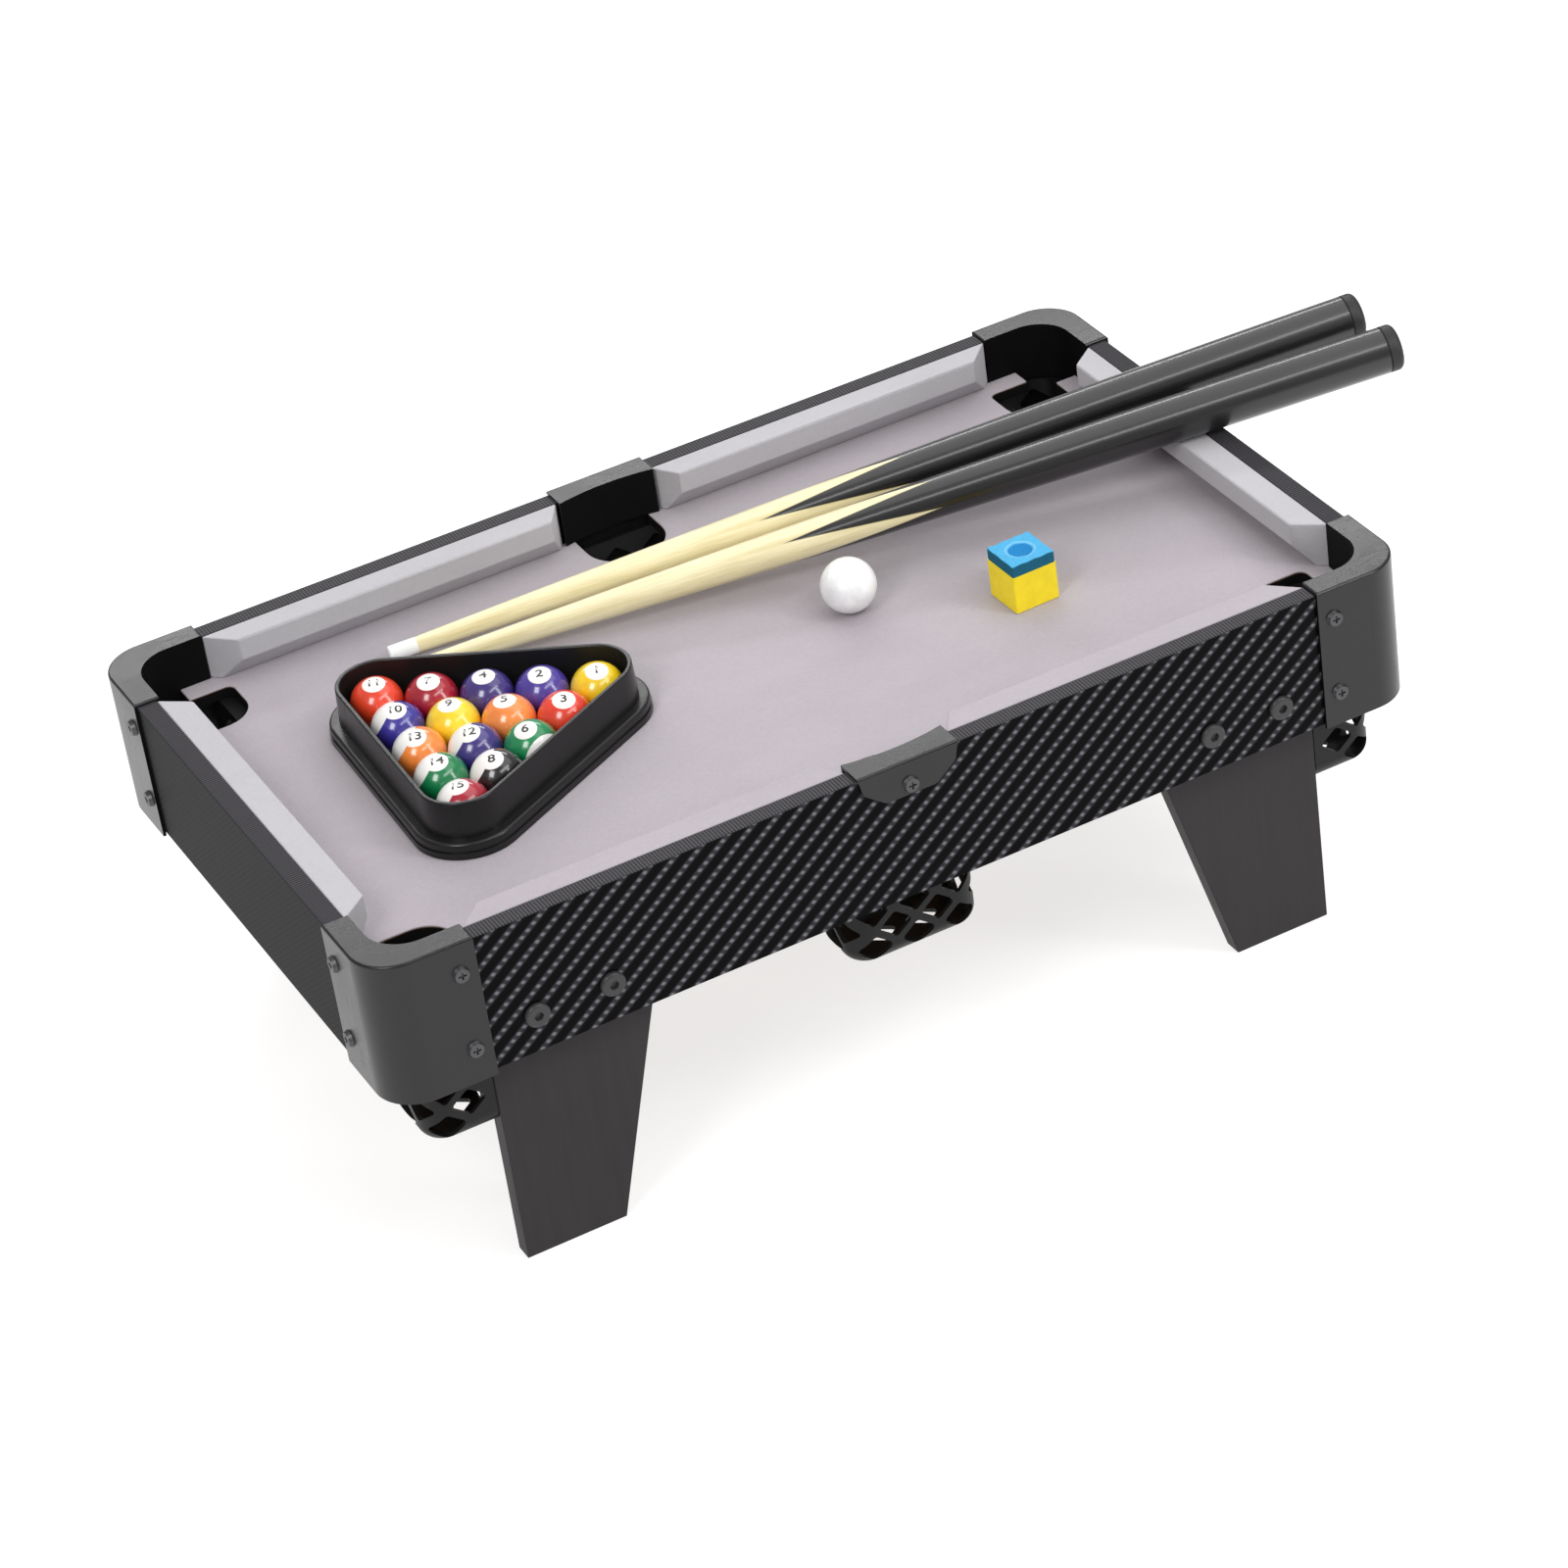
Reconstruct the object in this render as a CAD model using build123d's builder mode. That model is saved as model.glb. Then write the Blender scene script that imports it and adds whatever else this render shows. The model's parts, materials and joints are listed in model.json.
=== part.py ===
from build123d import *
import os
from math import atan2, cos, degrees, radians, sin, sqrt

os.makedirs("parts", exist_ok=True)

# Mini pool table with its rack, balls, cues and chalk, in millimetres.
# +X runs along the table, +Y from its front long rail to its back one, +Z up.
# The origin is on the floor under the middle of the whole set. The cue butts overhang the
# right end rail, so the middle of the table itself stands at x = table_x.

# ---- Table
length = 508.0  # over the corner caps
width = 305.0
rail_top = 177.5  # height of the rail tops above the floor
rail_height = 67.5
rail_t = 9.5
rail_edge_r = 0.6
rail_gap_at_corner = 22.0  # from the outside of the table to a rail's end, inside the cap
joint_gap = 0.2

bed_drop = 22.0  # from the rail tops down to the playing surface
felt_t = 1.0
board_t = 5.0

cushion_depth = 13.5  # from the rail to the nose
cushion_foot = 4.5  # from the rail to where the undercut face meets the bed
nose_face = 11.0  # height of the upright nose
nose_r = 1.2
end_cut_x = 13.0  # how far a long cushion's nose stops short of its back edge at a corner
end_cut_y = 11.0  # the same on an end cushion
side_cut = 9.0  # the same at a side pocket

# ---- Caps
cap_wall = 1.5
cap_top_t = 1.5
cap_edge_r = 1.2
cap_reach = 48.0  # along each side from the corner
cap_hang = 2.0  # below the rails
cap_corner_r = 20.0
liner_t = 1.2
liner_corner_r = 18.0
side_cap_half = 24.5
side_cap_tip = 15.0  # flange depth at its two tips
skirt_drop = 15.5
skirt_shoulder = 7.5
skirt_slant = 2.0
skirt_corner_r = 4.0

# ---- Pocket holes in the bed, measured in from the outside of the table
hole_near = 22.5  # also the depth of the felted tab beside each hole
hole_far = 54.0
hole_inner_r = 15.0
hole_small_r = 4.0
corner_cut = 33.0  # the bed's corner is cut away up to here
side_hole_r = 19.5
side_hole_in = 26.5  # centre of the side hole's round end

# ---- Baskets
basket_drop = 103.7  # from the rail tops to the bottom of a basket
basket_wall = 2.0
basket_gap = 0.5  # to the rails
basket_r = 12.0
basket_foot_r = 8.0
side_basket_half = 32.5
side_basket_in = 48.5  # inner wall, in from the outside of the table
corner_basket_near = 16.0  # outer wall of a corner basket, in from the end
corner_basket_y = 54.0  # its inner wall, in from the long side
corner_basket_gap = 0.4  # between its flat wall and the leg beside it
basket_rim_t = 2.0
rim_out = 9.0  # how far a rim stands out beyond its cup
corner_rim_out = 16.0  # the same beyond a corner basket's flat wall
basket_screw_out = 4.5  # from a cup to the middles of its rim's screws
diamond_half_w = 8.75  # of one opening of the lattice, before its corners are rounded
diamond_half_h = 6.8
diamond_r = 2.0
lattice_first = 8.4  # middle of the lowest openings above the basket's bottom
lattice_step = 9.3  # from one row up to the next
lattice_rows = 7
side_columns = ((-21.0, 0.0, 21.0), (-10.5, 10.5))  # middles of the openings, in rows that take turns
side_end_columns = ((0.0,), (-8.9, 8.9))
corner_columns = ((6.6,), (-4.4,))  # towards the end of the table
corner_end_columns = ((0.0,), (-11.5, 11.5))

# ---- Legs and fasteners
leg_t = 10.0
leg_edge = 0.5  # chamfer round both faces
leg_outer = 205.0
leg_sole_inner = 157.0
leg_top_inner = 116.0
leg_bolt_x = (148.5, 184.0)
leg_bolt_drop = 49.3
bolt_r = 2.5
bolt_head_r = 5.8
bolt_head_h = 2.2
bolt_head_edge_r = 1.4
bolt_socket_r = 2.3
bolt_socket_depth = 1.6
bolt_spare = 1.5  # of thread past the nut
nut_r = 3.9
nut_depth = 7.0
nut_flange_r = 8.0
nut_flange_t = 1.2
cap_screw_in = 40.0  # from the outside corner along each side
cap_screw_drops = (14.0, 52.7)
side_screw_drop = 10.5
screw_r = 1.5
screw_head_r = 4.0
screw_head_h = 1.8
screw_head_draft = 22.0
cross_length = 3.6
cross_width = 0.9
cross_depth = 0.9
cap_screw_length = 9.0
cleat = 10.0  # square section of the battens under the bed
cleat_side_x = (50.0, 112.0)
cleat_end_half = 84.0
pilot_depth = 3.0  # of the screws into the underside of the bed
board_head_r = 3.2
board_head_h = 1.6
board_head_draft = 15.0

# ---- What is played with
ball_d = 24.6
ball_gap = 0.35
cue_ball_d = 26.0
cue_ball_xy = (54.5, 2.5)
rest_gap = 0.3  # between anything that lifts off and what it rests on
rack_order = ((11, 7, 4, 2, 1), (10, 9, 5, 3), (13, 12, 6), (14, 8), (15,))
rack_xy = (-132.0, 1.5)
rack_turn = -32.1
rack_side = 95.0  # of the triangle through the centres of the rack's round corners
rack_out = 19.3  # from that triangle to the outside of the rim
rack_wall = 2.2
rack_height = 25.0
rack_draft = 3.0
rack_foot_out = 25.5
rack_foot_h = 7.5
rack_groove_z = 3.0
rack_groove = 0.8
rack_step = 0.6  # the foot above its groove stands in by this
rack_foot_r = 1.5
rack_rim_r = 0.7

cue_length = 482.0
cue_tip_r = 3.75
cue_mid_s = 240.0  # the shaft's outline is an arc through its tip, this place and the butt
cue_mid_r = 9.3
cue_butt_r = 11.0
cue_nose_r = 10.75  # radius where the cue crosses the end cushion's nose
cue_ferrule = 13.5
cue_bumper = 7.0
bumper_round = 3.0
cue_tip_edge = 0.5
tenon_r = 2.2  # of the shaft's end inside the tip
tenon_depth = 8.0
plug_r = 4.0  # of the bumper's stem inside the butt
plug_depth = 9.0
cue_tips = ((-133.5, 99.5), (-132.5, 81.5))
cue_headings = (-10.0, -12.2)

chalk_xy = (122.5, -37.5)
chalk_side = 22.0
chalk_height = 24.5
chalk_turn = 1.5
chalk_edge = 0.8
chalk_hollow_r = 6.5
chalk_hollow_depth = 2.4
wrap_t = 0.4
wrap_height = 18.5

# ---- Worked out from those
half_l = length / 2
half_w = width / 2
rail_out_x = half_l - cap_wall
rail_out_y = half_w - cap_wall
rail_in_x = rail_out_x - rail_t
rail_in_y = rail_out_y - rail_t
rail_bottom = rail_top - rail_height
rail_end_x = half_l - rail_gap_at_corner
rail_end_y = half_w - rail_gap_at_corner
nose_x = rail_in_x - cushion_depth
nose_y = rail_in_y - cushion_depth
felt_z = rail_top - bed_drop
board_top = felt_z - felt_t
board_bottom = board_top - board_t
cap_top = rail_top + cap_top_t
cap_bottom = rail_bottom - cap_hang
liner_in = cap_wall + rail_t + liner_t  # inner face of the corner liner
basket_bottom = rail_top - basket_drop
rim_bottom = board_bottom - basket_rim_t
leg_top = rim_bottom - basket_gap
side_cap_mid = liner_in  # flange depth at the middle of a side cap's hollow edge
cue_rise = bed_drop + cue_nose_r - cue_tip_r  # of the cue's axis, from its tip to the nose


def cue_tilt(number):
    """Degrees that a cue climbs, from its tip on the felt to the end cushion's nose."""
    run = (nose_x - cue_tips[number][0]) / cos(radians(cue_headings[number]))
    return degrees(atan2(cue_rise, run))


def cue_direction(number):
    turn, climb = radians(cue_headings[number]), radians(cue_tilt(number))
    return Vector(cos(climb) * cos(turn), cos(climb) * sin(turn), sin(climb))


cue_reach = max(tip[0] + cue_length * cue_direction(n).X for n, tip in enumerate(cue_tips)) + 1.5
table_x = (half_l - cue_reach) / 2

signs = (-1, 1)
side_names = {-1: "front", 1: "back"}
end_names = {-1: "left", 1: "right"}
corners = [(sx, sy, f"{side_names[sy]}_{end_names[sx]}") for sy in signs for sx in signs]

# Middles of the battens, and the screws into the underside of the bed
side_cleat_points = [
    (sx * sum(cleat_side_x) / 2, sy * (rail_in_y - cleat / 2)) for sx in signs for sy in signs
]
end_cleat_points = [(sx * (rail_in_x - cleat / 2), 0) for sx in signs]
end_cleat_screws = [(x, s * cleat_end_half * 0.65) for x, _ in end_cleat_points for s in signs]
cleat_screw_points = side_cleat_points + end_cleat_screws
side_basket_y = half_w - side_basket_in
side_basket_screws = [
    (sx * (side_basket_half + basket_screw_out), sy * (side_basket_y + basket_r + basket_screw_out))
    for sx in signs
    for sy in signs
]
corner_screw_x = half_l - hole_far - basket_screw_out
corner_screw_y = half_w - hole_far - basket_screw_out
corner_basket_screws = {
    place: [
        (sx * corner_screw_x, sy * (corner_screw_y + hole_far - hole_near)),
        (sx * (corner_screw_x + hole_far - hole_near), sy * corner_screw_y),
    ]
    for sx, sy, place in corners
}
basket_screw_points = side_basket_screws + sum(corner_basket_screws.values(), [])


def save(piece, node):
    """Label a finished piece and write it out."""
    piece.part.label = node
    export_step(piece.part, f"parts/{node}.step")


# ---- Planes to draw on


def level(z):
    """Horizontal plane at height z, centred on the table."""
    return Plane(origin=(table_x, 0, z))


def side_face(sy, y):
    """Upright plane facing out of a long side: local x is -sy * X, local y is Z."""
    return Plane(origin=(table_x, sy * y, 0), x_dir=(-sy, 0, 0), z_dir=(0, sy, 0))


def end_face(sx, x):
    """Upright plane facing out of an end: local x is sx * Y, local y is Z."""
    return Plane(origin=(table_x + sx * x, 0, 0), x_dir=(0, sx, 0), z_dir=(sx, 0, 0))


def bore(plane, points, radius, depth):
    """Cut round holes into the part being built, against the plane's normal."""
    with BuildSketch(plane) as mouths:
        with Locations(*points):
            Circle(radius)
    extrude(mouths.sketch, amount=-depth, mode=Mode.SUBTRACT)


# ---- Bed


def bed_outline():
    """The bed from above: a rectangle with a U at each side pocket and a hole at each corner."""
    with BuildSketch() as outline:
        Rectangle(2 * (rail_in_x - joint_gap), 2 * (rail_in_y - joint_gap))
        for sy in signs:
            with Locations((0, sy * (half_w - side_hole_in))):
                Circle(side_hole_r, mode=Mode.SUBTRACT)
            with Locations((0, sy * (half_w - side_hole_in / 2))):
                Rectangle(2 * side_hole_r, side_hole_in, mode=Mode.SUBTRACT)
        for sx, sy, _ in corners:
            near_x, far_x = sx * (half_l - hole_near), sx * (half_l - hole_far)
            near_y, far_y = sy * (half_w - hole_near), sy * (half_w - hole_far)
            with BuildLine():
                FilletPolyline(
                    (near_x, near_y),
                    (far_x, near_y),
                    (far_x, far_y),
                    (near_x, far_y),
                    radius=[hole_small_r, hole_small_r, hole_inner_r, hole_small_r],
                    close=True,
                )
            make_face(mode=Mode.SUBTRACT)
            with Locations((sx * (half_l - corner_cut / 2), sy * (half_w - corner_cut / 2))):
                Rectangle(corner_cut, corner_cut, mode=Mode.SUBTRACT)
    return outline.sketch


with BuildPart() as bed_board:
    with BuildSketch(level(board_bottom)):
        add(bed_outline())
    extrude(amount=board_t)
    bore(level(board_bottom), cleat_screw_points + basket_screw_points, screw_r, -pilot_depth)
save(bed_board, "bed_board")

with BuildPart() as bed_felt:
    with BuildSketch(level(board_top)):
        add(bed_outline())
    extrude(amount=felt_t)
save(bed_felt, "bed_felt")

# ---- Rails, with their bolt and screw holes

cap_screw_x = half_l - cap_screw_in
cap_screw_y = half_w - cap_screw_in
cap_screw_z = [rail_top - drop for drop in cap_screw_drops]
bolt_points = [(s * x, rail_top - leg_bolt_drop) for x in leg_bolt_x for s in signs]
side_screw_points = [(s * cap_screw_x, z) for z in cap_screw_z for s in signs]
end_screw_points = [(s * cap_screw_y, z) for z in cap_screw_z for s in signs]
middle_screw = (0, rail_top - side_screw_drop)
screw_bite = cap_screw_length - cap_wall

for sy in signs:
    with BuildPart() as side_rail:
        with BuildSketch(side_face(sy, rail_out_y)):
            with Locations((0, rail_bottom + rail_height / 2)):
                Rectangle(2 * rail_end_x, rail_height)
        extrude(amount=-rail_t)
        fillet(side_rail.edges().group_by(Axis.Z)[-1].filter_by(Axis.X), rail_edge_r)
        bore(side_face(sy, rail_out_y), bolt_points, bolt_r, rail_t)
        bore(side_face(sy, rail_out_y), side_screw_points + [middle_screw], screw_r, screw_bite)
    save(side_rail, f"side_rail_{side_names[sy]}")

for sx in signs:
    with BuildPart() as end_rail:
        with BuildSketch(end_face(sx, rail_out_x)):
            with Locations((0, rail_bottom + rail_height / 2)):
                Rectangle(2 * rail_end_y, rail_height)
        extrude(amount=-rail_t)
        fillet(end_rail.edges().group_by(Axis.Z)[-1].filter_by(Axis.Y), rail_edge_r)
        bore(end_face(sx, rail_out_x), end_screw_points, screw_r, screw_bite)
    save(end_rail, f"end_rail_{end_names[sx]}")

# ---- Cushions: one section, with its ends cut to a slanted plan


def cushion_section():
    """Back at local x = 0, nose at cushion_depth, top at the rail top."""
    Polygon(
        (0, rail_top),
        (cushion_depth, rail_top),
        (cushion_depth, rail_top - nose_face),
        (cushion_foot, felt_z),
        (0, felt_z),
    )


cushion_reach = half_l - cap_reach
end_cushion_reach = half_w - cap_reach
for sx, sy, place in corners:
    with BuildPart() as long_cushion:
        across = Plane(
            origin=(table_x, sy * rail_in_y, 0), x_dir=(0, -sy, 0), z_dir=(-sy, 0, 0)
        )
        with BuildSketch(across):
            cushion_section()
        extrude(amount=half_l, both=True)
        top_edges = long_cushion.edges().filter_by(Axis.X).group_by(Axis.Z)[-1]
        fillet(top_edges.sort_by(Axis.Y)[::-sy][-1], nose_r)
        with BuildSketch(level(felt_z - 1)):
            Polygon(
                (sx * (side_cap_half + 2 * joint_gap), sy * rail_in_y),
                (sx * (side_cap_half + side_cut), sy * nose_y),
                (sx * (cushion_reach - end_cut_x), sy * nose_y),
                (sx * cushion_reach, sy * rail_in_y),
            )
        extrude(amount=bed_drop + 2, mode=Mode.INTERSECT)
    save(long_cushion, f"cushion_{place}")

for sx in signs:
    with BuildPart() as end_cushion:
        across = Plane(
            origin=(table_x + sx * rail_in_x, 0, 0), x_dir=(-sx, 0, 0), z_dir=(0, sx, 0)
        )
        with BuildSketch(across):
            cushion_section()
        extrude(amount=half_w, both=True)
        top_edges = end_cushion.edges().filter_by(Axis.Y).group_by(Axis.Z)[-1]
        fillet(top_edges.sort_by(Axis.X)[::-sx][-1], nose_r)
        with BuildSketch(level(felt_z - 1)):
            Polygon(
                (sx * rail_in_x, -end_cushion_reach),
                (sx * nose_x, -end_cushion_reach + end_cut_y),
                (sx * nose_x, end_cushion_reach - end_cut_y),
                (sx * rail_in_x, end_cushion_reach),
            )
        extrude(amount=bed_drop + 2, mode=Mode.INTERSECT)
    save(end_cushion, f"cushion_end_{end_names[sx]}")

# ---- Corner caps


def corner_band(sx, sy, outer, outer_r, inner, inner_r, reach):
    """Plan of a band round one corner, between two insets from the outside of the table."""
    RectangleRounded(2 * (half_l - outer), 2 * (half_w - outer), outer_r)
    RectangleRounded(2 * (half_l - inner), 2 * (half_w - inner), inner_r, mode=Mode.SUBTRACT)
    with Locations((sx * (half_l - reach / 2), sy * (half_w - reach / 2))):
        Rectangle(reach, reach, mode=Mode.INTERSECT)


def is_outer_top(edge):
    """True for the three top edges of a corner cap that run round its outside."""
    middle = edge @ 0.5
    return abs(middle.X - table_x) > half_l - cap_corner_r / 2 or abs(middle.Y) > half_w - cap_corner_r / 2


liner_out = cap_wall + rail_t
liner_out_r = liner_corner_r + liner_t
for sx, sy, place in corners:
    with BuildPart() as corner_cap:
        with BuildSketch(level(cap_bottom)):
            corner_band(sx, sy, 0, cap_corner_r, cap_wall, cap_corner_r - cap_wall, cap_reach)
        extrude(amount=cap_top - cap_bottom)
        with BuildSketch(level(rail_top)):
            corner_band(sx, sy, 0, cap_corner_r, liner_in, liner_corner_r, cap_reach)
        extrude(amount=cap_top_t)
        with BuildSketch(level(felt_z + joint_gap)):
            corner_band(sx, sy, liner_out, liner_out_r, liner_in, liner_corner_r, cap_reach)
        extrude(amount=rail_top - felt_z - joint_gap)
        with BuildSketch(level(board_bottom + joint_gap)):
            corner_band(
                sx, sy, liner_out, liner_out_r, liner_in, liner_corner_r, corner_cut - joint_gap
            )
        extrude(amount=rail_top - board_bottom - joint_gap)
        bore(side_face(sy, half_w), [(-sy * sx * cap_screw_x, z) for z in cap_screw_z], screw_r, cap_wall)
        bore(end_face(sx, half_l), [(sx * sy * cap_screw_y, z) for z in cap_screw_z], screw_r, cap_wall)
        top_edges = corner_cap.edges().group_by(Axis.Z)[-1]
        fillet(top_edges.filter_by(is_outer_top), cap_edge_r)
    save(corner_cap, f"corner_cap_{place}")

# ---- Side caps


def hollow_edge(sy, inset):
    """Arc of a side cap's inner edge, moved towards the outside by inset."""
    tip, middle = half_w - side_cap_tip + inset, half_w - side_cap_mid + inset
    return ThreePointArc((side_cap_half, sy * tip), (0, sy * middle), (-side_cap_half, sy * tip))


for sy in signs:
    with BuildPart() as side_cap:
        with BuildSketch(level(rail_top)):
            with BuildLine():
                inner_edge = hollow_edge(sy, 0)
                Polyline(
                    inner_edge @ 1,
                    (-side_cap_half, sy * half_w),
                    (side_cap_half, sy * half_w),
                    inner_edge @ 0,
                )
            make_face()
        extrude(amount=cap_top_t)
        with BuildSketch(level(felt_z + joint_gap)):
            with BuildLine():
                inner_edge = hollow_edge(sy, 0)
                outer_edge = hollow_edge(sy, liner_t)
                Line(inner_edge @ 0, outer_edge @ 0)
                Line(inner_edge @ 1, outer_edge @ 1)
            make_face()
        extrude(amount=rail_top - felt_z - joint_gap)
        with BuildSketch(side_face(sy, rail_out_y)):
            with BuildLine():
                FilletPolyline(
                    (-side_cap_half, cap_top),
                    (-side_cap_half + skirt_slant, rail_top - skirt_shoulder),
                    (-side_cap_half / 2, rail_top - skirt_drop),
                    (side_cap_half / 2, rail_top - skirt_drop),
                    (side_cap_half - skirt_slant, rail_top - skirt_shoulder),
                    (side_cap_half, cap_top),
                    radius=skirt_corner_r,
                )
                Line((side_cap_half, cap_top), (-side_cap_half, cap_top))
            make_face()
        extrude(amount=cap_wall)
        bore(side_face(sy, half_w), [middle_screw], screw_r, cap_wall)
        rim = side_cap.edges().filter_by(Axis.X).group_by(Axis.Z)[-1].sort_by(Axis.Y)[::sy]
        fillet(rim[-1], cap_edge_r)
    save(side_cap, f"side_cap_{side_names[sy]}")

# ---- Lattice baskets: a rounded cup with a rim, and staggered diamond openings

with BuildSketch() as diamond:
    Polygon(
        (-diamond_half_w, 0),
        (0, -diamond_half_h),
        (diamond_half_w, 0),
        (0, diamond_half_h),
    )
    fillet(diamond.vertices(), diamond_r)


def diamonds(middle, columns, side=1):
    """Rows of openings round a middle; side turns the columns to the other end of the table."""
    for row in range(lattice_rows):
        height = basket_bottom + lattice_first + row * lattice_step
        for column in columns[row % 2]:
            with Locations((middle + side * column, height)):
                add(diamond.sketch)


def cup_block(cup_x, cup_y, inset, flat_side):
    """The cup's outside, or its inside with an inset. A flat side, -1 or 1, is cut off upright."""
    low_x, high_x = cup_x[0] + inset, cup_x[1] - inset
    low_y, high_y = cup_y[0] + inset, cup_y[1] - inset
    beyond_low = basket_r if flat_side < 0 else 0
    beyond_high = basket_r if flat_side > 0 else 0
    middle_x = (low_x - beyond_low + high_x + beyond_high) / 2
    middle_y = (low_y + high_y) / 2
    size_x = high_x + beyond_high - low_x + beyond_low
    top = rim_bottom if inset == 0 else board_bottom
    with BuildPart() as block:
        with BuildSketch(level(basket_bottom + inset)):
            with Locations((middle_x, middle_y)):
                RectangleRounded(size_x, high_y - low_y, basket_r - inset)
        extrude(amount=top - basket_bottom - inset)
        fillet(block.edges().group_by(Axis.Z)[0], basket_foot_r - inset)
        with BuildSketch(level(basket_bottom + inset)):
            with Locations(((low_x + high_x) / 2, middle_y)):
                Rectangle(high_x - low_x, high_y - low_y)
        extrude(amount=top - basket_bottom - inset, mode=Mode.INTERSECT)
    return block.part


def make_basket(cup_x, cup_y, rim_x, rim_y, screws, columns_x, columns_y, flat_side=0):
    """One basket from the spans of its cup and its rim in x and in y."""
    size_x, size_y = cup_x[1] - cup_x[0], cup_y[1] - cup_y[0]
    middle = (sum(cup_x) / 2, sum(cup_y) / 2)
    across_x = Plane(origin=(table_x, middle[1], 0), x_dir=(1, 0, 0), z_dir=(0, -1, 0))
    across_y = Plane(origin=(table_x + middle[0], 0, 0), x_dir=(0, 1, 0), z_dir=(1, 0, 0))
    with BuildPart() as basket:
        add(cup_block(cup_x, cup_y, 0, flat_side))
        with BuildSketch(level(rim_bottom)):
            with Locations((sum(rim_x) / 2, sum(rim_y) / 2)):
                RectangleRounded(rim_x[1] - rim_x[0], rim_y[1] - rim_y[0], basket_r / 2)
        extrude(amount=basket_rim_t)
        add(cup_block(cup_x, cup_y, basket_wall, flat_side), mode=Mode.SUBTRACT)
        with BuildSketch(across_x):
            diamonds(middle[0], columns_x, -flat_side or 1)
        extrude(amount=size_y, both=True, mode=Mode.SUBTRACT)
        with BuildSketch(across_y):
            diamonds(middle[1], columns_y)
        extrude(amount=size_x, both=True, mode=Mode.SUBTRACT)
        with BuildSketch(level(basket_bottom)):
            for column in columns_x[1]:
                with Locations((middle[0] + column * (-flat_side or 1), middle[1])):
                    add(diamond.sketch)
        extrude(amount=basket_wall, mode=Mode.SUBTRACT)
        bore(level(board_bottom), screws, screw_r, basket_rim_t)
    return basket


cup_out_x = rail_in_x - basket_gap
cup_out_y = rail_in_y - basket_gap
for sy in signs:
    side_basket = make_basket(
        (-side_basket_half, side_basket_half),
        sorted((sy * side_basket_y, sy * cup_out_y)),
        (-side_basket_half - rim_out, side_basket_half + rim_out),
        sorted((sy * (side_basket_y - rim_out), sy * cup_out_y)),
        [point for point in side_basket_screws if point[1] * sy > 0],
        side_columns,
        side_end_columns,
    )
    save(side_basket, f"side_basket_{side_names[sy]}")

corner_flat = leg_outer + corner_basket_gap
corner_inner_y = half_w - corner_basket_y
for sx, sy, place in corners:
    corner_basket = make_basket(
        sorted((sx * corner_flat, sx * (half_l - corner_basket_near))),
        sorted((sy * corner_inner_y, sy * cup_out_y)),
        sorted((sx * (corner_flat - corner_rim_out), sx * cup_out_x)),
        sorted((sy * (corner_inner_y - rim_out), sy * cup_out_y)),
        corner_basket_screws[place],
        corner_columns,
        corner_end_columns,
        -sx,
    )
    save(corner_basket, f"corner_basket_{place}")

# ---- Legs: tapered panels behind the long rails

leg_screw_z = rail_top - leg_bolt_drop
for sx, sy, place in corners:
    u = -sy * sx
    with BuildPart() as leg:
        with BuildSketch(side_face(sy, rail_in_y)):
            Polygon(
                (u * leg_outer, 0),
                (u * leg_sole_inner, 0),
                (u * leg_top_inner, leg_top),
                (u * leg_outer, leg_top),
            )
        extrude(amount=-leg_t)
        chamfer(leg.edges().group_by(Axis.Y)[0] + leg.edges().group_by(Axis.Y)[-1], leg_edge)
        bore(side_face(sy, rail_in_y), [(u * x, leg_screw_z) for x in leg_bolt_x], bolt_r, leg_t)
        bore(
            side_face(sy, rail_in_y - leg_t + nut_depth),
            [(u * x, leg_screw_z) for x in leg_bolt_x],
            nut_r,
            nut_depth,
        )
    save(leg, f"leg_{place}")

# ---- Fasteners: identical ones share a node as separate solids

bolt_shank = rail_t + leg_t + nut_flange_t + bolt_spare
with BuildPart() as leg_bolts:
    for sy in signs:
        with BuildSketch(side_face(sy, rail_out_y)):
            with Locations(*bolt_points):
                Circle(bolt_head_r)
        extrude(amount=bolt_head_h)
    outer_edges = leg_bolts.edges().group_by(Axis.Y)[0] + leg_bolts.edges().group_by(Axis.Y)[-1]
    fillet(outer_edges, bolt_head_edge_r)
    for sy in signs:
        with BuildSketch(side_face(sy, rail_out_y)):
            with Locations(*bolt_points):
                Circle(bolt_r)
        extrude(amount=-bolt_shank)
        with BuildSketch(side_face(sy, rail_out_y + bolt_head_h)):
            with Locations(*bolt_points):
                RegularPolygon(bolt_socket_r, 6)
        extrude(amount=-bolt_socket_depth, mode=Mode.SUBTRACT)
save(leg_bolts, "leg_bolts")

with BuildPart() as leg_nuts:
    for sy in signs:
        back = rail_in_y - leg_t
        with BuildSketch(side_face(sy, back)):
            with Locations(*bolt_points):
                Circle(nut_flange_r)
        extrude(amount=-nut_flange_t)
        with BuildSketch(side_face(sy, back)):
            with Locations(*bolt_points):
                Circle(nut_r)
        extrude(amount=nut_depth)
        bore(side_face(sy, back + nut_depth), bolt_points, bolt_r, nut_depth + nut_flange_t)
save(leg_nuts, "leg_nuts")


def pan_screws(plane, points):
    """Pan-head screws with cross recesses, driven in from a plane."""
    with BuildSketch(plane) as heads:
        with Locations(*points):
            Circle(screw_head_r)
    extrude(heads.sketch, amount=screw_head_h, taper=screw_head_draft)
    with BuildSketch(plane.offset(screw_head_h)) as recesses:
        with Locations(*points):
            Rectangle(cross_length, cross_width)
            Rectangle(cross_width, cross_length)
    extrude(recesses.sketch, amount=-cross_depth, mode=Mode.SUBTRACT)
    with BuildSketch(plane) as shanks:
        with Locations(*points):
            Circle(screw_r)
    extrude(shanks.sketch, amount=-cap_screw_length)


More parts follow.
